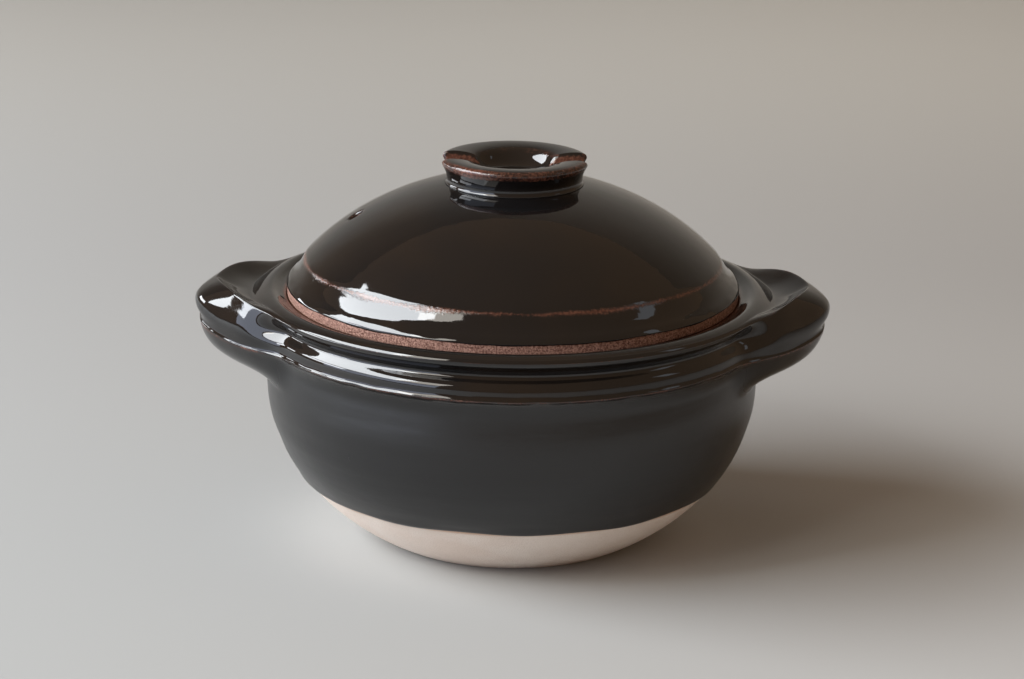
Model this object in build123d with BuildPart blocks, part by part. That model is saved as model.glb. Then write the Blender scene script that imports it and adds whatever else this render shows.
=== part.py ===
from build123d import *

import os
from math import sqrt

# A lidded clay cooking pot with two ear handles, in millimetres.
# The pot is a thrown bowl of coarse fireproof clay. It curves out from a flat trimmed foot to a belly and up
# to a banded rim, with a sharp ridge below and a groove half way. Inside the rim is the gallery, a ledge that
# the lid sits on. Two hand-formed ears are luted to the outside of the rim.
# The lid is a thrown dome with a rolled flange and a pierced steam hole. Its ring knob, notched on two sides,
# is also the foot that it stands on when it lies upside down.
# Both are dipped in a dark glaze, which stops short of the foot, the lid's edge and the seat between the two,
# so that they don't fuse in the kiln. Radii and heights are the clay's, and the glaze lies on top of them.
# The origin is on the table at the pot's centre, +Z is up and the ears lie along X.

# Glaze
glaze = 0.8
glaze_line_height = 29.5

# Rim, which the radii and heights of the rest of the bowl are measured from
rim_radius = 116.0
rim_height = 113.2
rim_round = 0.9
crown_inset = 5.2
crown_rise = 2.0
crown_round = 2.6

# Groove, band, ridge and neck below the rim
groove_inset = 7.0
groove_drop = 8.6
groove_round = 1.2
band_inset = 3.0
band_drop = 13.8
band_round = 3.0
ridge_inset = 1.1
ridge_drop = 17.6
ridge_round = 0.6
neck_inset = 4.8
neck_drop = 24.2

# Belly, foot and floor. The belly's curve would close this far below the table
belly_inset = 4.0
belly_drop = 39.2
bowl_curve_drop = 13.5
foot_ring_width = 10.0
foot_recess_depth = 1.2
wall = 7.2
floor_thickness = 9.0
floor_corner_round = 20.0

# Gallery and seat
gallery_inset = 9.6
gallery_round = 1.2
seat_drop = 0.6
seat_width = 9.4
seat_depth = 8.0
seat_slope_height = 9.0
seat_corner_round = 3.0
seat_bare_depth = 2.0

# Ears, which reach out past the rim
ear_root_inset = 13.2
ear_half_width = 64.6
ear_keel_length = 26.0
ear_bulge_length = 28.6
ear_bulge_rise = 11.4
ear_lip_length = 20.6
ear_lip_rise = 6.0
ear_drop = 22.8
ear_fold_length = 2.6
ear_fold_drop = 0.2
ear_dish_sag = 1.4

# Lid
lid_gap = 0.3
lid_play = 3.1
lid_bare_height = 3.8
lid_edge_round = 0.8
roll_inset = 1.7
roll_rise = 8.0
roll_round = 3.0
shoulder_inset = 9.1
shoulder_rise = 15.5
shoulder_round = 0.7
cove_length = 0.8
cove_rise = 11.0
cove_round = 1.4
dome_rise = 38.8
dome_overreach = 25.0
lid_wall = 7.0
lid_edge_width = 11.3
lid_seat_rise = 6.0
lid_inner_corner_round = 3.0

# Steam hole
steam_hole_radius = 3.5
steam_hole_reach = 72.0

# Ring knob
knob_lip_radius = 34.1
knob_lip_drop = 2.1
knob_lip_round = 1.2
knob_height = 9.1
knob_crown_inset = 7.1
knob_waist_inset = 4.7
knob_waist_sink = 0.2
knob_mouth_inset = 14.1
knob_mouth_drop = 1.6
knob_mouth_round = 1.5
knob_hollow_inset = 21.1
notch_width = 15.6
notch_depth = 5.5

# How far a cut runs past what it cuts
overrun = 30.0

# An ear's outline from above, from the pot to the tip: share of its reach and of its half width
ear_outline_shares = [(0.0, 1.0), (0.3, 0.91), (0.53, 0.72), (0.73, 0.54), (0.9, 0.3), (1.0, 0.0)]
# Its underside, from the wall out to the keel: share of its drop, of its reach and of its half width
ear_underside_shares = [
    (1.0, 0.42, 0.45),
    (0.72, 0.58, 0.62),
    (0.5, 0.76, 0.76),
    (0.25, 0.92, 0.9),
    (0.0, 1.0, 1.0),
]
# Its outer face narrows to these shares of the half width, at the lip and above it
ear_lip_width_share = 0.93
ear_crest_width_share = 0.8
# The bowl's curve is drawn through places at these shares of its height, from the belly down
bowl_curve_shares = [1.0, 0.8, 0.6, 0.4, 0.2, 0.0]
# The lid's dome is drawn through places at these shares of its radius, from the top out
dome_curve_shares = [0.0, 0.25, 0.5, 0.7, 0.86, 1.0]

# Sizes of the bowl that follow from these
seat_height = rim_height - seat_drop
crown_radius = rim_radius - crown_inset
crown_height = rim_height + crown_rise
gallery_radius = rim_radius - gallery_inset
seat_inner_radius = gallery_radius - seat_width
groove_radius = rim_radius - groove_inset
groove_height = rim_height - groove_drop
band_radius = rim_radius - band_inset
band_height = rim_height - band_drop
ridge_radius = rim_radius - ridge_inset
ridge_height = rim_height - ridge_drop
neck_radius = rim_radius - neck_inset
neck_height = rim_height - neck_drop
belly_radius = rim_radius - belly_inset
belly_height = rim_height - belly_drop
bowl_curve_depth = belly_height + bowl_curve_drop
inner_belly_radius = belly_radius - wall
seat_underside_height = seat_height - seat_depth
inner_neck_height = seat_underside_height - seat_slope_height
foot_radius = belly_radius * sqrt(1 - (belly_height / bowl_curve_depth) ** 2)

# Sizes of the ears
ear_root_reach = sqrt((rim_radius - ear_root_inset) ** 2 - ear_half_width**2)
ear_keel_reach = rim_radius + ear_keel_length
ear_bulge_reach = rim_radius + ear_bulge_length
ear_bulge_height = ridge_height + ear_bulge_rise
ear_lip_reach = rim_radius + ear_lip_length
ear_lip_height = rim_height + ear_lip_rise
ear_crest_reach = 2 * ear_lip_reach - ear_bulge_reach
ear_crest_height = 2 * ear_lip_height - ear_bulge_height
ear_fold_radius = rim_radius + ear_fold_length
ear_fold_height = rim_height - ear_fold_drop

# Sizes of the lid and its knob
lid_radius = gallery_radius - lid_play
lid_height = seat_height + lid_gap
lid_seat_inner_radius = lid_radius - lid_edge_width
lid_inner_height = lid_height + lid_seat_rise
roll_radius = lid_radius - roll_inset
shoulder_radius = lid_radius - shoulder_inset
cove_radius = shoulder_radius + cove_length
lid_inner_radius = shoulder_radius - lid_wall
dome_top_height = lid_height + shoulder_rise + dome_rise
dome_reach = shoulder_radius + dome_overreach
dome_depth = dome_rise / (1 - sqrt(1 - (shoulder_radius / dome_reach) ** 2))
knob_top_height = dome_top_height + knob_height
knob_lip_height = knob_top_height - knob_lip_drop
knob_crown_radius = knob_lip_radius - knob_crown_inset
knob_waist_radius = knob_lip_radius - knob_waist_inset
knob_waist_height = dome_top_height - knob_waist_sink
knob_mouth_radius = knob_lip_radius - knob_mouth_inset
knob_mouth_height = knob_top_height - knob_mouth_drop
knob_hollow_radius = knob_lip_radius - knob_hollow_inset
knob_foot_height = dome_top_height - lid_wall
notch_floor_height = knob_top_height - notch_depth

# Beyond every piece, for what is cut away
highest = knob_top_height + overrun
widest = ear_bulge_reach + overrun


def bowl_point(height, grown):
    """Place on the bowl's curve at a height, with the curve grown outwards."""
    level = (belly_height - height) / (bowl_curve_depth + grown)
    return ((belly_radius + grown) * sqrt(1 - level**2), height)


def dome_point(radius, grown):
    """Place on the lid's dome at a radius, with the dome grown outwards."""
    level = radius / (dome_reach + grown)
    return (radius, dome_top_height - dome_depth + (dome_depth + grown) * sqrt(1 - level**2))


def dome_slope(radius):
    """How steeply the lid's dome falls away at a radius."""
    return dome_depth * radius / (dome_reach**2 * sqrt(1 - (radius / dome_reach) ** 2))


def rounded(corners):
    """Rounds the corners of the outline that is being drawn, each given as a place and a radius."""
    for place, radius in corners:
        fillet(vertices().sort_by_distance(place)[0], radius=radius)


def bowl_outline(grown=0.0):
    """Half outline of the unhollowed bowl, grown outwards by a coat."""
    foot_edge = bowl_point(0, grown)
    ridge = (ridge_radius + grown, ridge_height)
    band = (band_radius + grown, band_height)
    groove = (groove_radius + grown, groove_height)
    rim = (rim_radius + grown, rim_height + grown / 2)
    crown = (crown_radius, crown_height + grown)
    gallery = (gallery_radius, seat_height + grown)
    with BuildSketch() as outline:
        with BuildLine():
            Polyline(
                (0, seat_height + grown),
                (0, foot_recess_depth),
                (foot_radius - foot_ring_width, foot_recess_depth),
                (foot_radius - foot_ring_width + foot_recess_depth, 0),
                foot_edge,
            )
            belly = Spline(*[bowl_point(belly_height * share, grown) for share in bowl_curve_shares])
            Spline(belly @ 0, (neck_radius + grown, neck_height), ridge, tangents=[(0, 1), (1, 0.5)])
            Polyline(ridge, band, groove, rim, crown, gallery, (0, seat_height + grown))
        make_face()
        rounded(
            [
                (ridge, ridge_round),
                (band, band_round),
                (groove, groove_round),
                (rim, rim_round),
                (crown, crown_round),
                (gallery, gallery_round),
            ]
        )
    return outline.sketch


def bowl_hollow_outline(grown=0.0):
    """Half outline of the bowl's hollow, up through the seat's opening, drawn in by a coat."""
    rise = belly_height - floor_thickness - grown
    belly = [bowl_point(belly_height - rise * (1 - share), -wall - grown) for share in bowl_curve_shares]
    neck = (inner_belly_radius - grown, inner_neck_height)
    shelf = (seat_inner_radius - grown, seat_underside_height)
    with BuildSketch() as outline:
        with BuildLine():
            Spline(*belly)
            Polyline(
                belly[0],
                neck,
                shelf,
                (seat_inner_radius - grown, highest),
                (0, highest),
                (0, floor_thickness + grown),
                belly[-1],
            )
        make_face()
        rounded([(belly[-1], floor_corner_round), (neck, seat_corner_round), (shelf, seat_corner_round)])
    return outline.sketch


def lid_outline(grown=0.0):
    """Half outline of the unhollowed lid, grown outwards by a coat."""
    dome = [dome_point((shoulder_radius + grown) * share, grown) for share in dome_curve_shares]
    edge = (lid_radius + grown, lid_height)
    roll = (roll_radius + grown, lid_height + roll_rise + grown / 2)
    cove = (cove_radius + grown, lid_height + cove_rise + grown / 2)
    with BuildSketch() as outline:
        with BuildLine():
            Spline(*dome)
            Polyline(
                dome[0],
                (0, lid_height),
                edge,
                (lid_radius + grown, lid_height + lid_bare_height),
                roll,
                cove,
                dome[-1],
            )
        make_face()
        rounded([(edge, lid_edge_round), (roll, roll_round), (cove, cove_round), (dome[-1], shoulder_round)])
    return outline.sketch


def lid_hollow_outline(grown=0.0):
    """Half outline of the lid's hollow, down through its open underside, drawn in by a coat."""
    inner_radius = lid_inner_radius - grown
    dome = [dome_point(inner_radius * share, -lid_wall - grown) for share in dome_curve_shares]
    corner = (inner_radius, lid_inner_height)
    with BuildSketch() as outline:
        with BuildLine():
            Spline(*dome)
            Polyline(
                dome[0],
                (0, lid_height - overrun),
                (lid_seat_inner_radius - grown, lid_height - overrun),
                (lid_seat_inner_radius - grown, lid_height),
                corner,
                dome[-1],
            )
        make_face()
        rounded([(dome[-1], lid_inner_corner_round), (corner, lid_inner_corner_round)])
    return outline.sketch


def save(piece, name):
    """Labels a finished piece and writes it."""
    piece.part.label = name
    export_step(piece.part, f"parts/{name}.step")


os.makedirs("parts", exist_ok=True)

# The glazed bowl before it is hollowed, which the ears are fitted to
with BuildPart() as bowl_core:
    with BuildSketch(Plane.YZ):
        add(bowl_outline(glaze))
    revolve(axis=Axis.Z)

# Thrown bowl with its trimmed foot, banded rim and gallery
with BuildPart() as bowl:
    with BuildSketch(Plane.YZ):
        add(bowl_outline())
        add(bowl_hollow_outline(), mode=Mode.SUBTRACT)
    revolve(axis=Axis.Z)
save(bowl, "bowl")


def ear_level(height, reach, width_share):
    """One level of the right ear's outline, from the pot out to its tip and back."""
    half_width = ear_half_width * width_share
    length = reach - ear_root_reach
    side = [(ear_root_reach + length * along, half_width * across) for along, across in ear_outline_shares]
    other_side = [(x, -y) for x, y in reversed(side[:-1])]
    with BuildSketch(Plane.XY.offset(height)) as level:
        with BuildLine():
            edge = Spline(*side, *other_side)
            Line(edge @ 1, edge @ 0)
        make_face()
    return level.sketch


# The right ear before it is fitted to the pot, with its underside, its outer face and its dished top
with BuildPart() as ear_lug:
    for drop_share, reach_share, width_share in ear_underside_shares:
        level_height = ridge_height - ear_drop * drop_share
        level_reach = ear_root_reach + (ear_keel_reach - ear_root_reach) * reach_share
        add(ear_level(level_height, level_reach, width_share))
    loft()
    add(ear_level(ridge_height, ear_keel_reach, 1))
    add(ear_level(ear_bulge_height, ear_bulge_reach, 1))
    add(ear_level(ear_lip_height, ear_lip_reach, ear_lip_width_share))
    add(ear_level(ear_crest_height, ear_crest_reach, ear_crest_width_share))
    loft()
    # The top is highest at the lip and lowest in the fold along the rim
    with BuildSketch(Plane.YZ):
        with BuildLine():
            fold = Vector(ear_fold_radius, ear_fold_height)
            lip = Vector(ear_lip_reach, ear_lip_height)
            Spline(fold, (fold + lip) / 2 - Vector(0, ear_dish_sag), lip)
            Polyline(
                lip,
                (widest, ear_lip_height),
                (widest, highest),
                (ear_root_reach - overrun, highest),
                (ear_root_reach - overrun, groove_height),
                (gallery_radius, groove_height),
                (rim_radius - rim_round, ear_fold_height),
                fold,
            )
        make_face()
    revolve(axis=Axis.Z, mode=Mode.SUBTRACT)

# Two lugs of clay, luted to the outside of the bowl and glazed all over
with BuildPart() as right_ear:
    add(ear_lug.part)
    add(bowl_core.part, mode=Mode.SUBTRACT)
save(right_ear, "right_ear")

with BuildPart() as left_ear:
    mirror(right_ear.part, about=Plane.YZ)
save(left_ear, "left_ear")

# Dark glaze over the bowl's outside and its rim, from the glaze line to the gallery
with BuildPart() as outer_glaze:
    with BuildSketch(Plane.YZ):
        add(bowl_outline(glaze))
        add(bowl_outline(), mode=Mode.SUBTRACT)
        with Locations((0, glaze_line_height)):
            Rectangle(2 * widest, highest, align=(Align.CENTER, Align.MAX), mode=Mode.SUBTRACT)
        with Locations((gallery_radius, ridge_height)):
            Rectangle(2 * widest, highest, align=(Align.MAX, Align.MIN), mode=Mode.SUBTRACT)
    revolve(axis=Axis.Z)
save(outer_glaze, "bowl_outer_glaze")

# Dark glaze over the bowl's floor and inner wall, up to the bare seat
with BuildPart() as inner_glaze:
    with BuildSketch(Plane.YZ):
        add(bowl_hollow_outline())
        add(bowl_hollow_outline(glaze), mode=Mode.SUBTRACT)
        with Locations((0, seat_height - seat_bare_depth)):
            Rectangle(2 * widest, highest, align=(Align.CENTER, Align.MIN), mode=Mode.SUBTRACT)
    revolve(axis=Axis.Z)
save(inner_glaze, "bowl_inner_glaze")

# The lid before it is hollowed, which the knob is fitted to
with BuildPart() as lid_core:
    with BuildSketch(Plane.YZ):
        add(lid_outline())
    revolve(axis=Axis.Z)

# The steam hole is pierced square to the dome, on the left ear's side
steam_hole_plane = Plane(
    origin=(-steam_hole_reach, 0, dome_point(steam_hole_reach, 0)[1]),
    z_dir=(-dome_slope(steam_hole_reach), 0, 1),
)
with BuildPart() as steam_hole:
    with BuildSketch(steam_hole_plane):
        Circle(steam_hole_radius)
    extrude(amount=overrun, both=True)

# Thrown dome with its rolled flange
with BuildPart() as lid_dome:
    with BuildSketch(Plane.YZ):
        add(lid_outline())
        add(lid_hollow_outline(), mode=Mode.SUBTRACT)
    revolve(axis=Axis.Z)
    add(steam_hole.part, mode=Mode.SUBTRACT)
save(lid_dome, "lid_dome")


def knob_shape(grown=0.0):
    """The ring knob, running into the dome, with its outside grown by a coat."""
    with BuildPart() as shape:
        with BuildSketch(Plane.YZ):
            with BuildLine():
                waist = (knob_waist_radius, knob_waist_height)
                side = TangentArc(waist, (knob_lip_radius, knob_lip_height), tangent=(0, 1))
                top = ThreePointArc(
                    side @ 1, (knob_crown_radius, knob_top_height), (knob_mouth_radius, knob_mouth_height)
                )
                Polyline(
                    top @ 1,
                    (knob_hollow_radius, dome_top_height),
                    (knob_hollow_radius, knob_foot_height),
                    (knob_waist_radius, knob_foot_height),
                    waist,
                )
            make_face()
            rounded([(side @ 1, knob_lip_round), (top @ 1, knob_mouth_round)])
            if grown > 0:
                offset(amount=grown)
        revolve(axis=Axis.Z)
        with BuildSketch(Plane.XY.offset(notch_floor_height + grown)):
            Rectangle(2 * widest, notch_width - 2 * grown)
        extrude(amount=overrun, mode=Mode.SUBTRACT)
    return shape.part


# Ring knob, turned on the top of the dome
with BuildPart() as knob_ring:
    add(knob_shape())
    add(lid_core.part, mode=Mode.SUBTRACT)
save(knob_ring, "knob_ring")

# Dark glaze over the lid's top and its knob, down to the bare edge
with BuildPart() as top_glaze:
    with BuildSketch(Plane.YZ):
        add(lid_outline(glaze))
        add(lid_outline(), mode=Mode.SUBTRACT)
        with Locations((0, lid_height + lid_bare_height)):
            Rectangle(2 * widest, overrun, align=(Align.CENTER, Align.MAX), mode=Mode.SUBTRACT)
    revolve(axis=Axis.Z)
    add(steam_hole.part, mode=Mode.SUBTRACT)
    add(knob_shape(glaze))
    for clay in (lid_core, knob_ring):
        add(clay.part, mode=Mode.SUBTRACT)
save(top_glaze, "lid_top_glaze")

# Dark glaze inside the dome, down to the bare seat
with BuildPart() as under_glaze:
    with BuildSketch(Plane.YZ):
        add(lid_hollow_outline())
        add(lid_hollow_outline(glaze), mode=Mode.SUBTRACT)
        with Locations((0, lid_inner_height)):
            Rectangle(2 * widest, highest, align=(Align.CENTER, Align.MAX), mode=Mode.SUBTRACT)
    revolve(axis=Axis.Z)
    add(steam_hole.part, mode=Mode.SUBTRACT)
save(under_glaze, "lid_under_glaze")
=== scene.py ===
from math import atan2, cos, degrees, pi, radians, sin, sqrt

import bmesh
import bpy
from mathutils import Matrix, Vector, noise


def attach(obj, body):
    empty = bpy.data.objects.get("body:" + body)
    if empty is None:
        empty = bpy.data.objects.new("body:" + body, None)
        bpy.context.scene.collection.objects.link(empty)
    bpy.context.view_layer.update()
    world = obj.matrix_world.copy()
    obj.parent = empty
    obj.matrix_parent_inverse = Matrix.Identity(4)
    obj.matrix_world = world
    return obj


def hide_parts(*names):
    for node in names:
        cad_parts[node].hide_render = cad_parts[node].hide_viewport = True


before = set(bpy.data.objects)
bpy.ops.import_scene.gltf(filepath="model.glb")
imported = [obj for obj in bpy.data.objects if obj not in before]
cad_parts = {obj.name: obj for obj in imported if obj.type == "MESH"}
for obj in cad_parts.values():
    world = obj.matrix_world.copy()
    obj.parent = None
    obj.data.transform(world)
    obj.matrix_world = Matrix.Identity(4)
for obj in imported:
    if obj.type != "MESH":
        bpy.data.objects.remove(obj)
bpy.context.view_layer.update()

# Camera
# It looks down at the pot from in front, with a long lens.
# The picture leans by about a degree, as the photograph does.
camera_place = Vector((0, -1.400, 0.501))
camera_tilt = radians(90 - 16.36)
camera_roll = radians(0.9)
camera = bpy.data.objects.new("camera", bpy.data.cameras.new("camera"))
camera.data.lens = 111.2
camera.data.sensor_width = 36
camera.data.clip_start = 0.05
camera.data.clip_end = 50
camera.matrix_world = (
    Matrix.Translation(camera_place)
    @ Matrix.Rotation(camera_tilt, 4, "X")
    @ Matrix.Rotation(camera_roll, 4, "Z")
)
bpy.context.scene.collection.objects.link(camera)
bpy.context.scene.camera = camera
bpy.context.scene.view_settings.view_transform = "Standard"


# Floor and backdrop
# One sheet of pale grey card lies under the pot and sweeps up behind it in a wide curve.
# It is matt. Its colour holds painted light and shade: a little darker to the left and just behind the pot,
# and lighter to the right and far back.
class Value:
    """A number at a socket. Sums, products and comparisons of values add their Math nodes."""

    def __init__(self, finish, socket):
        self.finish = finish
        self.socket = socket

    def math(self, operation, *others):
        inputs = dict(enumerate((self, *others)))
        return self.finish.node("Math", inputs, operation=operation)

    def __add__(self, other):
        return self.math("ADD", other)

    def __mul__(self, other):
        return self.math("MULTIPLY", other)

    def __sub__(self, other):
        return self.math("SUBTRACT", other)

    def __rsub__(self, other):
        return self.finish.node("Math", {0: other, 1: self}, operation="SUBTRACT")

    def ramp(self, low, high):
        """Runs smoothly from 0 where the value is low to 1 where it is high."""
        inputs = {"Value": self, "From Min": low, "From Max": high}
        return self.finish.node("MapRange", inputs, interpolation_type="SMOOTHSTEP")


class Finish:
    """A material that is built node by node on its Principled shader."""

    def __init__(self, name, **settings):
        self.material = bpy.data.materials.new(name)
        self.material.use_nodes = True
        self.tree = self.material.node_tree
        self.shader = self.tree.nodes["Principled BSDF"]
        for socket, value in settings.items():
            self.shader.inputs[socket.replace("_", " ")].default_value = value
        self.place = self.node("TexCoord", {}, out="Object")

    def node(self, kind, inputs, out=0, **settings):
        made = self.tree.nodes.new("ShaderNode" + kind)
        for setting, value in settings.items():
            setattr(made, setting, value)
        for socket, value in inputs.items():
            if isinstance(value, Value):
                self.tree.links.new(value.socket, made.inputs[socket])
            else:
                made.inputs[socket].default_value = value
        return Value(self, made.outputs[out])

    def noise(self, scale, detail=2.0, roughness=0.5, place=None):
        inputs = {"Vector": place or self.place, "Scale": scale, "Detail": detail, "Roughness": roughness}
        return self.node("TexNoise", inputs)

    def stretched(self, along):
        """The object's place, squeezed along each axis."""
        return self.node("Mapping", {"Vector": self.place, "Scale": along})

    def mix(self, factor, dark, light):
        """A colour from dark, where the factor is 0, to light, where it is 1."""
        return self.node("Mix", {"Factor": factor, "A": dark, "B": light}, out="Result", data_type="RGBA")

    def given(self, name):
        """A value that the mesh carries from point to point."""
        return self.node("Attribute", {}, out="Fac", attribute_name=name)

    def bump(self, height, depth, strength=1.0, under=None):
        inputs = {"Height": height, "Distance": depth, "Strength": strength}
        if under:
            inputs["Normal"] = under
        return self.node("Bump", inputs)

    def give(self, **links):
        for socket, value in links.items():
            self.tree.links.new(value.socket, self.shader.inputs[socket.replace("_", " ")])


def new_piece(name, form, material):
    """Puts a finished bmesh in the scene as a smooth piece."""
    mesh = bpy.data.meshes.new(name)
    form.to_mesh(mesh)
    form.free()
    mesh.shade_smooth()
    mesh.materials.append(material)
    piece = bpy.data.objects.new(name, mesh)
    bpy.context.scene.collection.objects.link(piece)
    return piece


card_width = 9.0
card_front = -3.5
card_back = 1.9
card_bend = 0.9
card_rise = 4.0
card_steps = 16
card = Finish("pale_card", Roughness=0.75, Specular_IOR_Level=0.2)
depth_in = card.node("SeparateXYZ", {"Vector": card.place}, out="Y")
aside = card.node("SeparateXYZ", {"Vector": card.place}, out="X").ramp(-0.45, 0.45)
# Painted light and shade: the card is darker on the left and in a strip just behind the pot, and lighter to
# the right and far back.
card_near = card.mix(aside, (0.385, 0.401, 0.402, 1), (0.533, 0.535, 0.525, 1))
card_shade_behind = card.mix(aside, (0.392, 0.400, 0.400, 1), (0.423, 0.417, 0.403, 1))
card_far = card.mix(aside, (0.474, 0.474, 0.452, 1), (0.600, 0.595, 0.555, 1))
card_floor = card.mix(depth_in.ramp(-0.3, 0.5), card_near, card_shade_behind)
card.give(Base_Color=card.mix(depth_in.ramp(0.4, 1.25), card_floor, card_far))
sheet = bmesh.new()
sheet_line = [(card_front, 0), (card_back, 0)]
for step in range(1, card_steps + 1):
    turn = pi / 2 * step / card_steps
    sheet_line.append((card_back + card_bend * sin(turn), card_bend * (1 - cos(turn))))
sheet_line.append((card_back + card_bend, card_rise))
edge = [sheet.verts.new((-card_width / 2, y, z)) for y, z in sheet_line]
fold = [sheet.edges.new(pair) for pair in zip(edge, edge[1:])]
across = bmesh.ops.extrude_edge_only(sheet, edges=fold)["geom"]
bmesh.ops.translate(
    sheet, verts=[v for v in across if isinstance(v, bmesh.types.BMVert)], vec=(card_width, 0, 0)
)
bmesh.ops.recalc_face_normals(sheet, faces=sheet.faces)
if sheet.faces[0].normal.z < 0:
    bmesh.ops.reverse_faces(sheet, faces=sheet.faces)
new_piece("card", sheet, card.material)


# Light
# A window to the left lights the pot. Weaker light comes from under it, past its curtain and from the sides.
# The rest of the room is dim and warm, so the glaze mirrors a dark ceiling.
def soft_light(name, bearing, rise, distance, size, power, colour):
    """A rectangular light that faces the pot, at a bearing to the left of the camera."""
    lamp = bpy.data.lights.new(name, "AREA")
    lamp.shape = "RECTANGLE"
    lamp.size, lamp.size_y = size
    lamp.energy = power
    lamp.color = colour
    place = bpy.data.objects.new(name, lamp)
    bpy.context.scene.collection.objects.link(place)
    towards = Vector((-sin(bearing) * cos(rise), -cos(bearing) * cos(rise), sin(rise)))
    place.location = Vector((0, 0, 0.1)) + towards * distance
    place.rotation_euler = towards.to_track_quat("Z", "Y").to_euler()


soft_light("window", radians(81), radians(36), 2.2, (2.0, 0.85), 64, (0.92, 0.96, 1.0))
soft_light("window_foot", radians(94), radians(17), 2.2, (1.05, 0.35), 13, (0.92, 0.96, 1.0))
soft_light("low_window", radians(62), radians(11), 2.2, (2.4, 0.8), 15, (0.68, 0.79, 1.0))
soft_light("curtain", radians(44), radians(34), 2.2, (0.80, 0.80), 11, (1.0, 0.95, 0.87))
soft_light("far_window", radians(-82), radians(34), 2.6, (0.35, 0.6), 0.5, (0.70, 0.85, 1.0))
soft_light("side_window", radians(122), radians(8), 2.2, (0.8, 0.2), 5, (0.92, 0.96, 1.0))
world = bpy.data.worlds.new("room")
bpy.context.scene.world = world
world.use_nodes = True
world.node_tree.nodes["Background"].inputs["Color"].default_value = (0.28, 0.190, 0.122, 1)
world.node_tree.nodes["Background"].inputs["Strength"].default_value = 0.97


# Clay of the bowl
# Coarse fireproof clay, fired bare to a pale pinkish beige, with fine grains that stand out of it.
# A toasted orange line runs along under the glaze, and the seat of the lid is toasted reddish brown.
glaze_line = 0.0295
seat_level = 0.1000
bare = Finish("bare_clay", Roughness=0.9, Specular_IOR_Level=0.25)
grain = bare.noise(1400, detail=3, roughness=0.65)
cloud = bare.noise(28, detail=3)
level = bare.node("SeparateXYZ", {"Vector": bare.place}, out="Z")
toast = level.ramp(glaze_line - 0.0022, glaze_line) * (cloud * 0.5 + 0.5)
buff = bare.mix(cloud.ramp(0.35, 0.65), (0.86, 0.73, 0.64, 1), (0.92, 0.82, 0.74, 1))
speck = bare.noise(2600, detail=2).ramp(0.56, 0.70)
buff = bare.mix(speck * 0.22, buff, (0.36, 0.25, 0.19, 1))
buff = bare.mix(toast, buff, (0.55, 0.28, 0.14, 1))
bare.give(
    Base_Color=bare.mix(level.ramp(seat_level - 0.001, seat_level), buff, (0.13, 0.055, 0.032, 1)),
    Normal=bare.bump(grain, 0.0006, 0.7),
)
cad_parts["bowl"].data.materials.clear()
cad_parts["bowl"].data.materials.append(bare.material)

# Clay of the lid
# The same clay under a thin wash of glaze, which the kiln has toasted pinkish brown.
# Its bare edge and the steam hole show it.
toasted = Finish("toasted_clay", Roughness=0.7, Specular_IOR_Level=0.4)
grain = toasted.noise(1300, detail=3, roughness=0.7)
toasted.give(
    Base_Color=toasted.mix(grain.ramp(0.36, 0.64), (0.15, 0.060, 0.040, 1), (0.56, 0.33, 0.26, 1)),
    Normal=toasted.bump(grain, 0.0012, 1.0),
)
for node in ("lid_dome", "knob_ring"):
    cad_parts[node].data.materials.clear()
    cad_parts[node].data.materials.append(toasted.material)

# Glaze
# A thick iron glaze, black where it pools and reddish brown where it runs thin over an edge.
# On the pot's wall it has dried to a satin skin, and everywhere else it is as bright as glass.
# Each mesh carries the value thin, and the pot's also satin, which say where that is.
glaze = Finish("iron_glaze", IOR=1.6, Specular_IOR_Level=0.52)
thin = glaze.given("thin")
satin = glaze.given("satin")
patch = glaze.noise(60, detail=3)
crumb = glaze.noise(850, detail=3, roughness=0.65)
worn = (thin + (patch - 0.5) * 0.7 + (crumb - 0.5) * 0.5).ramp(0.42, 0.88)
warm = glaze.noise(18, detail=2).ramp(0.35, 0.75)
pooled = glaze.mix(warm * (1 - satin), (0.0055, 0.0055, 0.0062, 1), (0.0115, 0.0080, 0.0062, 1))
rust = glaze.mix(crumb.ramp(0.42, 0.66), (0.080, 0.026, 0.017, 1), (0.16, 0.066, 0.043, 1))
ripple = glaze.noise(95, detail=2)
pits = glaze.noise(420, detail=2)
brushed = glaze.noise(130, detail=3, place=glaze.stretched((0.25, 0.25, 1.6)))
skin = glaze.bump(ripple, 0.0006, 0.12)
skin = glaze.bump(pits, 0.00012, 0.10, under=skin)
skin = glaze.bump(brushed * satin, 0.0007, 0.16, under=skin)
glaze.give(
    Base_Color=glaze.mix(worn, pooled, rust),
    Roughness=satin * ((patch - 0.5) * 0.10 + 0.30) + (1 - satin) * 0.045 + worn * 0.08,
    Normal=glaze.bump(crumb * worn, 0.0003, 0.4, under=skin),
)
for node in ("bowl_inner_glaze", "lid_under_glaze"):
    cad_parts[node].data.materials.clear()
    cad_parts[node].data.materials.append(glaze.material)


# Glazed outside of the pot, with its ears
# The coat runs from the glaze line up over the belly, the ridge, the band and the rim into the gallery.
# The two ears are lugs of clay that the maker joined to the band, so the coat runs on over them.
def smooth_step(low, high, value):
    """Runs from 0 to 1 as the value runs from low to high."""
    share = min(1.0, max(0.0, (value - low) / (high - low)))
    return share * share * (3 - 2 * share)


def between(table, value):
    """Reads a smooth curve through (value, result) points."""
    for index in range(len(table) - 1):
        low, high = table[index], table[index + 1]
        if value <= high[0]:
            before = table[max(0, index - 1)]
            after = table[min(len(table) - 1, index + 2)]
            span = high[0] - low[0]
            share = max(0.0, value - low[0]) / span
            leave = (high[1] - before[1]) / (high[0] - before[0]) * span
            enter = (after[1] - low[1]) / (after[0] - low[0]) * span
            gain = high[1] - low[1]
            curve = 3 * gain - 2 * leave - enter + share * (leave + enter - 2 * gain)
            return low[1] + share * (leave + share * curve)
    return table[-1][1]


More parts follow.
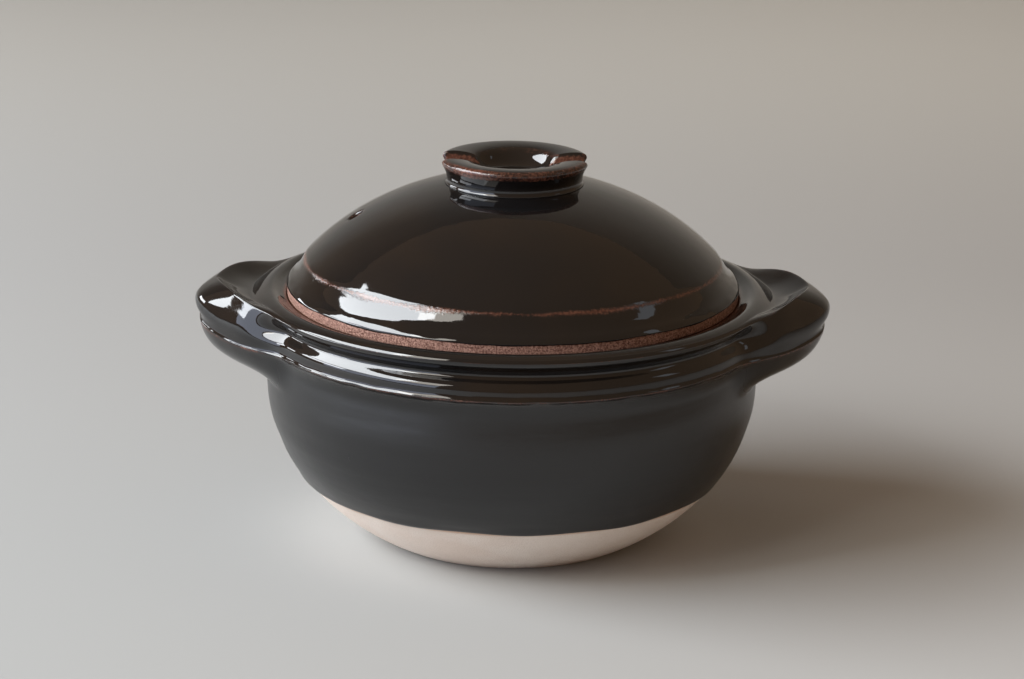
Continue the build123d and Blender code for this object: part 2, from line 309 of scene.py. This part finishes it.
def thrown(profile, steps):
    """Spins a profile of (radius, height) points once round. A layer keeps each point's number."""
    form = bmesh.new()
    number = form.verts.layers.int.new("number")
    line = []
    for index, (radius, height) in enumerate(profile):
        line.append(form.verts.new((0, -radius, height)))
        line[-1][number] = index
    run = [form.edges.new(pair) for pair in zip(line, line[1:])]
    bmesh.ops.spin(
        form, geom=line + run, cent=(0, 0, 0), axis=(0, 0, 1), angle=2 * pi, steps=steps, use_merge=True
    )
    return form, number


def wander(angle, level, size, seed):
    """A slow, seamless waver round the pot, for lines and walls made by hand."""
    return size * noise.noise(Vector((1.3 * cos(angle) + seed, 1.3 * sin(angle), level)))


def mixed(share, plain, grown):
    """A point on the way from one (radius, height) point to another."""
    return tuple(a + share * (b - a) for a, b in zip(plain, grown))


belly_radius = 0.1128
belly_height = 0.074
curve_depth = 0.0883
pot_steps = 256
wall_rows = 22
under_rows = 12
top_rows = 9
under_start = 0.0770
low_ridge = (0.1157, 0.0958)
rim_edge = (0.1168, 0.1131)
rim_round = (0.1153, 0.1147)
ear_keel = (0.1442, 0.1010)
ear_lip = (0.1360, 0.1189)
ear_fold = (0.1194, 0.1120)
# How far out and up the ear's lower ridge, its upper ridge and its fold are at each angle from its middle,
# as shares of the way from the plain rim to the ear's own point
keel_reach_table = [
    (0, 1.0),
    (5, 0.95),
    (9.5, 0.80),
    (13.5, 0.62),
    (17, 0.46),
    (23, 0.19),
    (27, 0.04),
    (31, 0.0),
    (90, 0.0),
]
keel_rise_table = [
    (0, 1.0),
    (5, 0.74),
    (9.5, 0.43),
    (13.5, 0.20),
    (17, 0.08),
    (23, 0.02),
    (31, 0.0),
    (90, 0.0),
]
lip_reach_table = [
    (0, 1.0),
    (5, 0.87),
    (10, 0.71),
    (14, 0.55),
    (17, 0.40),
    (20, 0.22),
    (23, 0.09),
    (26, 0.02),
    (30, 0.0),
    (90, 0.0),
]
lip_rise_table = [
    (0, 0.83),
    (5, 1.0),
    (10, 0.98),
    (14, 0.77),
    (17, 0.52),
    (20, 0.26),
    (23, 0.11),
    (26, 0.03),
    (30, 0.0),
    (90, 0.0),
]
fold_table = [(0, 1.0), (8, 1.0), (13, 0.65), (18, 0.2), (22, 0.02), (26, 0.0), (90, 0.0)]
# How far the face stands off the straight line from the lower ridge to the upper one:
# on the band, on the sides of an ear and on its nose
band_table = [
    (0, 0.0),
    (0.03, -0.00042),
    (0.07, -0.00095),
    (0.10, -0.0011),
    (0.18, -0.0012),
    (0.32, -0.0017),
    (0.40, -0.0028),
    (0.49, -0.0044),
    (0.57, -0.0055),
    (0.66, -0.0050),
    (0.79, -0.0025),
    (0.905, -0.0007),
    (1, 0.0),
]
ear_face_table = [
    (0, 0.0),
    (0.05, -0.0004),
    (0.12, 0.0),
    (0.3, 0.0016),
    (0.55, 0.0019),
    (0.8, 0.0009),
    (1, 0.0),
]
ear_nose_table = [
    (0, 0.0),
    (0.05, 0.0),
    (0.12, 0.0004),
    (0.3, 0.0025),
    (0.5, 0.0040),
    (0.7, 0.0040),
    (0.87, 0.0022),
    (1, 0.0),
]
face_shares = (
    (0.015, 0.035, 0.07, 0.15, 0.23, 0.30, 0.36, 0.42)
    + (0.49, 0.56, 0.64, 0.72, 0.80, 0.88, 0.94, 0.975, 1)
)
crown_line = [
    (0.1132, 0.1156),
    (0.1116, 0.1160),
    (0.1101, 0.1158),
    (0.1088, 0.1151),
    (0.1077, 0.1143),
    (0.1066, 0.1138),
    (0.1055, 0.1135),
    (0.1045, 0.1134),
    (0.1038, 0.1132),
    (0.1035, 0.1127),
    (0.1035, 0.1118),
]
crown_start = (0.1146, 0.1151)
crown_start_at_ear = (0.1166, 0.1140)
glaze_edge = [(0.0958, 0.0288), (0.0971, 0.0290), (0.0979, 0.0297), (0.0987, 0.0310)]
wall_start = glaze_edge[-1][1]
# The angles from the middle of an ear between which its face and its nose die away
face_fade = (18, 27)
nose_fade = (2, 13)
rim_swell = 0.0004
fold_sag = 0.0012
# How far the wall, its hand-thrown rings, the ridge and the glaze line waver
wall_waver = 0.0005
throwing_waver = 0.0004
ridge_waver = 0.0003
line_waver = 0.0010
throwing_fade = (0.030, 0.045)
# How thin the glaze runs on the ridge, on the rim and in the gallery, from 0 to 1
ridge_thin = 0.66
rim_thin = 0.50
gallery_thin = 0.8
# The underside of an ear lacks most of the wall's satin skin
under_gloss = 0.7
under_reach_fade = (0.02, 0.4)
under_height_fade = (0.074, 0.088)


def belly_point(height):
    """Radius of the glazed wall at a height."""
    return belly_radius * sqrt(1 - ((belly_height - height) / curve_depth) ** 2)


def neck_point(share):
    """The wall from the belly up to the ridge, drawn in at the neck."""
    heights = [(0, under_start), (0.35, 0.0835), (0.7, 0.0895), (0.88, 0.0935), (1, low_ridge[1])]
    radii = [(0, belly_point(under_start)), (0.35, 0.1122), (0.7, 0.1121), (0.88, 0.1136), (1, low_ridge[0])]
    return between(radii, share), between(heights, share)


def under_point(share):
    """The ear's underside at its middle, from the wall out to the lower ridge."""
    weights = ((1 - share) ** 3, 3 * share * (1 - share) ** 2, 3 * share**2 * (1 - share), share**3)
    bend = ((belly_point(under_start), under_start), (0.1215, 0.0815), (0.1415, 0.0825), ear_keel)
    return tuple(sum(w * point[axis] for w, point in zip(weights, bend)) for axis in (0, 1))


def pot_profile(turn):
    """The coat's outline, from the glaze line to the gallery, some degrees from the middle of an ear."""
    keel_reach = between(keel_reach_table, turn)
    fold_depth = between(fold_table, turn)
    face_share = 1 - smooth_step(*face_fade, turn)
    nose_share = 1 - smooth_step(*nose_fade, turn)
    keel = (
        low_ridge[0] + keel_reach * (ear_keel[0] - low_ridge[0]),
        low_ridge[1] + between(keel_rise_table, turn) * (ear_keel[1] - low_ridge[1]),
    )
    lip = (
        rim_edge[0] + between(lip_reach_table, turn) * (ear_lip[0] - rim_edge[0]),
        rim_edge[1] + between(lip_rise_table, turn) * (ear_lip[1] - rim_edge[1]),
    )
    fold = mixed(fold_depth, rim_round, ear_fold)
    outline = list(glaze_edge)
    for row in range(1, wall_rows + 1):
        height = wall_start + (under_start - wall_start) * row / (wall_rows + 1)
        outline.append((belly_point(height), height))
    for row in range(under_rows + 1):
        share = row / (under_rows + 1)
        radius, height = mixed(keel_reach, neck_point(share), under_point(share))
        outline.append((radius, height + share**3 * (keel[1] - mixed(keel_reach, low_ridge, ear_keel)[1])))
    outline.append(keel)
    for share in face_shares:
        stand = between(band_table, share) * (1 - face_share) + between(ear_face_table, share) * face_share
        stand += between(ear_nose_table, share) * nose_share
        radius, height = mixed(share, keel, lip)
        outline.append((radius + stand, height))
    for row in range(1, top_rows + 1):
        share = row / top_rows
        radius, height = mixed(share, lip, fold)
        swell = rim_swell - (rim_swell + fold_sag) * fold_depth
        outline.append((radius, height + sin(pi * share) * swell))
    outline.append(mixed(fold_depth, crown_start, crown_start_at_ear))
    return outline + crown_line


keel_number = len(glaze_edge) + wall_rows + under_rows + 1
lip_number = keel_number + len(face_shares)
crown_number = lip_number + top_rows + 1
# The coat's back lies just inside the clay
back_line = [
    (0.1035, 0.1100),
    (0.1075, 0.1090),
    (0.1075, 0.1040),
    (0.1095, 0.0960),
    (0.1100, 0.0860),
    (0.1105, 0.0740),
    (0.1070, 0.0560),
    (0.1000, 0.0400),
    (0.0935, 0.0300),
]


def thin_at(number):
    """How thin the coat runs at a point of the outline: most on the ridge, then the rim and the gallery."""
    gallery_number = crown_number + len(crown_line) - 3
    edges = (
        (keel_number, ridge_thin, 2),
        (lip_number, rim_thin, 2),
        (gallery_number, gallery_thin, 3),
    )
    return max(most * max(0.0, 1 - abs(number - edge) / reach) for edge, most, reach in edges)


coat_form, number = thrown(pot_profile(90) + back_line, pot_steps)
bmesh.ops.bridge_loops(coat_form, edges=[e for e in coat_form.edges if e.is_boundary])
thin_layer = coat_form.verts.layers.float.new("thin")
satin_layer = coat_form.verts.layers.float.new("satin")
back_number = len(pot_profile(90))
profiles = {}
for vert in coat_form.verts:
    here = vert[number]
    if here >= back_number:
        continue
    turn = round(degrees(atan2(abs(vert.co.y), abs(vert.co.x))), 3)
    if turn not in profiles:
        profiles[turn] = pot_profile(turn)
    radius, height = profiles[turn][here]
    around = atan2(vert.co.y, vert.co.x)
    radius += wander(around, height * 30, wall_waver, 3.0)
    if here < keel_number - 1:
        radius += wander(around, height * 120, throwing_waver, 11.0) * smooth_step(*throwing_fade, height)
    if here < len(glaze_edge):
        height += wander(around * 2, 0.0, line_waver, 8.0)
    if abs(here - keel_number) < 3:
        radius += wander(around * 17, here * 0.5, ridge_waver, 4.0)
    vert.co = Vector((radius * cos(around), radius * sin(around), height))
    vert[thin_layer] = thin_at(here)
    if here < keel_number - 1:
        under_ear = smooth_step(*under_reach_fade, between(keel_reach_table, turn))
        vert[satin_layer] = 1 - under_gloss * under_ear * smooth_step(*under_height_fade, height)
bmesh.ops.recalc_face_normals(coat_form, faces=coat_form.faces)
pot_glaze = new_piece("pot_glaze", coat_form, glaze.material)
rounder = pot_glaze.modifiers.new("rounder", "SUBSURF")
rounder.levels = rounder.render_levels = 1
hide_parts("bowl_outer_glaze", "left_ear", "right_ear")
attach(pot_glaze, "pot")


# Glazed top of the lid
# The coat covers the thrown dome and its rolled flange, and stops in a ragged line above the bare edge.
# The steam hole is pierced square through the dome on the left, and the coat runs down into it.
lid_steps = 216
dome_radius = 0.1215
dome_depth = 0.1010
dome_centre = 0.0670
dome_edge = 0.0925
dome_inner = 0.020
dome_rows = 36
lid_coat = 0.0020
shoulder = (0.09535, 0.1291)
shoulder_rows = 3.5
edge_rows = 3
# How far the glaze's ragged edge and the shoulder waver, in slow waves and in short ones
edge_waver = 0.0009
short_waver = 0.0004
shoulder_waver = 0.0007
# How thin the glaze runs at its edge, on the shoulder and at the steam hole, from 0 to 1
edge_thin = 0.6
shoulder_thin = 0.86
shoulder_thin_spread = 0.35
mouth_thin = 0.45
bore_thin = 0.5
flange_line = [
    (0.1025, 0.1174),
    (0.1033, 0.1175),
    (0.1038, 0.1179),
    (0.1035, 0.1185),
    (0.1029, 0.1194),
    (0.1022, 0.1203),
    (0.1011, 0.1212),
    (0.1002, 0.1220),
    (0.0994, 0.1230),
    (0.0985, 0.1241),
    (0.0978, 0.1252),
    (0.0971, 0.1263),
    (0.0964, 0.12745),
    (0.0958, 0.1284),
    shoulder,
    (0.0949, 0.1298),
    (0.0944, 0.1305),
    (0.0939, 0.1311),
    (0.0932, 0.1318),
]
flange_back = [(0.0935, 0.1240), (0.0995, 0.1195), (0.1010, 0.1165)]
shoulder_number = flange_line.index(shoulder)


def dome_height(radius):
    """Height of the glazed dome at a radius."""
    return dome_centre + dome_depth * sqrt(1 - (radius / dome_radius) ** 2)


dome_line = []
for row in range(dome_rows + 1):
    radius = dome_edge + (dome_inner - dome_edge) * row / dome_rows
    dome_line.append((radius, dome_height(radius)))
dome_back = [(radius, height - lid_coat) for radius, height in reversed(dome_line)]
lid_form, number = thrown(flange_line + dome_line + dome_back + flange_back, lid_steps)
bmesh.ops.bridge_loops(lid_form, edges=[e for e in lid_form.edges if e.is_boundary])
thin_layer = lid_form.verts.layers.float.new("thin")
for vert in lid_form.verts:
    here = vert[number]
    around = atan2(vert.co.y, vert.co.x)
    if here < edge_rows:
        vert[thin_layer] = edge_thin * (1 - here / edge_rows)
        vert.co.z += wander(around * 3, 0.0, edge_waver, 5.0) * (1 - here / edge_rows)
    if here < 2 * edge_rows:
        vert.co.z += wander(around * 14, here * 0.4, short_waver, 9.0)
    if here < len(flange_line) + 4:
        near = max(0.0, 1 - abs(here - shoulder_number) / shoulder_rows)
        thin_here = (shoulder_thin + wander(around, 0.0, shoulder_thin_spread, 7.0)) * near
        vert[thin_layer] = max(vert[thin_layer], thin_here)
        vert.co.z += wander(around * 4, 0.0, shoulder_waver, 2.0) * near

hole_reach = 0.0724
hole_cut = 0.0042
hole_depth = 0.01
hole_mouth = 0.0049
hole_bore = 0.0036
hole_rings = ((0.0043, 0.0002), (0.0038, 0.0004), (hole_bore, 0.0007))
hole_slope = dome_depth * hole_reach / (dome_radius**2 * sqrt(1 - (hole_reach / dome_radius) ** 2))
hole_place = Vector((-hole_reach, 0, dome_height(hole_reach)))
hole_axis = Vector((-hole_slope, 0, 1)).normalized()


def from_hole(point):
    """Splits a point's place into its way out from the hole's axis and its height along it."""
    offset = point - hole_place
    rise = offset.dot(hole_axis)
    return offset - hole_axis * rise, rise


def ring_to(verts, radius, drop):
    """Sets the points of a loop on a circle about the hole."""
    for vert in verts:
        out, rise = from_hole(vert.co)
        vert.co = hole_place + out.normalized() * radius + hole_axis * (rise - drop)


pierced = [f for f in lid_form.faces if from_hole(f.calc_center_median())[0].length < hole_cut]
pierced = [f for f in pierced if abs(from_hole(f.calc_center_median())[1]) < hole_depth]
bmesh.ops.delete(lid_form, geom=pierced, context="FACES")
torn = [e for e in lid_form.edges if e.is_boundary]
first_back = len(flange_line) + len(dome_line)
mouth = [e for e in torn if e.verts[0][number] < first_back]
under = [e for e in torn if e.verts[0][number] >= first_back]
ring_to({v for e in under for v in e.verts}, hole_bore, 0.0)
ring_to({v for e in mouth for v in e.verts}, hole_mouth, 0.0)
for vert in {v for e in mouth for v in e.verts}:
    vert[thin_layer] = mouth_thin
for radius, drop in hole_rings:
    grown = bmesh.ops.extrude_edge_only(lid_form, edges=mouth)["geom"]
    mouth = [e for e in grown if isinstance(e, bmesh.types.BMEdge) and e.is_boundary]
    ring = {v for e in mouth for v in e.verts}
    ring_to(ring, radius, drop)
    for vert in ring:
        vert[thin_layer] = bore_thin
bmesh.ops.bridge_loops(lid_form, edges=mouth + under)
bmesh.ops.recalc_face_normals(lid_form, faces=lid_form.faces)
lid_glaze = new_piece("lid_glaze", lid_form, glaze.material)
rounder = lid_glaze.modifiers.new("rounder", "SUBSURF")
rounder.levels = rounder.render_levels = 1
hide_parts("lid_top_glaze")
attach(lid_glaze, "lid")

# Ring knob
# A turned ring of clay on the top of the dome, notched on two sides, which is the foot of the upturned lid.
# The glaze covers it all over and runs thin along its lip and down the walls of the notches.
knob_steps = 240
knob_line = [
    (0.0325, 0.1638),
    (0.0316, 0.1648),
    (0.0310, 0.1658),
    (0.0309, 0.1670),
    (0.0311, 0.1684),
    (0.0316, 0.1699),
    (0.0323, 0.1714),
    (0.0331, 0.1729),
    (0.0340, 0.1744),
    (0.0339, 0.1754),
    (0.0333, 0.1762),
    (0.0322, 0.1767),
    (0.0308, 0.1770),
    (0.0288, 0.17705),
    (0.0262, 0.1769),
    (0.0236, 0.1765),
    (0.0214, 0.1759),
    (0.0201, 0.1752),
    (0.0192, 0.1742),
    (0.0184, 0.1730),
    (0.0175, 0.1715),
    (0.0163, 0.1700),
    (0.0146, 0.1690),
    (0.0122, 0.1684),
    (0.0090, 0.1681),
    (0.0050, 0.1680),
    (0.0004, 0.1680),
]
notch_half = 0.0069
notch_ease = 0.0012
notch_floor = 0.1712
notch_first = 6
notch_last = 20
notch_outer = 0.0317
notch_inner = 0.0174
fan_start = radians(32)
fan_end = radians(85)
lip_numbers = (7, 8, 9, 10, 11)
hollow_numbers = (16, 17, 18)
# How thin the glaze runs on the lip, round the hollow and down the walls of the notches
lip_thin = 0.68
hollow_thin = 0.5
notch_thin = 0.85


def across_ring(turn, radius):
    """How far a point is from the line through both notches.

    Near the notches it is the same all the way across the ring, so the mesh follows their walls.
    """
    if radius < notch_inner:
        return radius * sin(turn)
    spread = smooth_step(fan_start, fan_end, turn)
    return notch_inner * sin(turn) * (1 + spread * (radius / notch_inner - 1))


knob_form, number = thrown(knob_line, knob_steps)
bmesh.ops.holes_fill(knob_form, edges=[e for e in knob_form.edges if e.is_boundary], sides=knob_steps)
thin_layer = knob_form.verts.layers.float.new("thin")
for vert in knob_form.verts:
    here = vert[number]
    radius, height = knob_line[here]
    turn = atan2(abs(vert.co.y), abs(vert.co.x))
    aside = across_ring(turn, radius)
    depth = 0.0
    if notch_first <= here <= notch_last:
        depth = 1 - smooth_step(notch_half - notch_ease, notch_half + notch_ease, aside)
        share = (here - notch_first) / (notch_last - notch_first)
        floor_radius = notch_outer + share * (notch_inner - notch_outer)
        radius, height = mixed(depth, (radius, height), (floor_radius, notch_floor))
        aside = across_ring(turn, radius)
    along = sqrt(max(0.0, radius**2 - aside**2))
    vert.co = Vector((along if vert.co.x > 0 else -along, aside if vert.co.y > 0 else -aside, height))
    ring_thin = 0.0
    if here in lip_numbers:
        ring_thin = lip_thin
    elif here in hollow_numbers:
        ring_thin = hollow_thin
    # The wall of a notch is where its depth is neither 0 nor 1
    vert[thin_layer] = max(ring_thin * (1 - depth), 4 * notch_thin * depth * (1 - depth))
bmesh.ops.recalc_face_normals(knob_form, faces=knob_form.faces)
knob = new_piece("knob", knob_form, glaze.material)
rounder = knob.modifiers.new("rounder", "SUBSURF")
rounder.levels = rounder.render_levels = 1
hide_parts("knob_ring")
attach(knob, "lid")
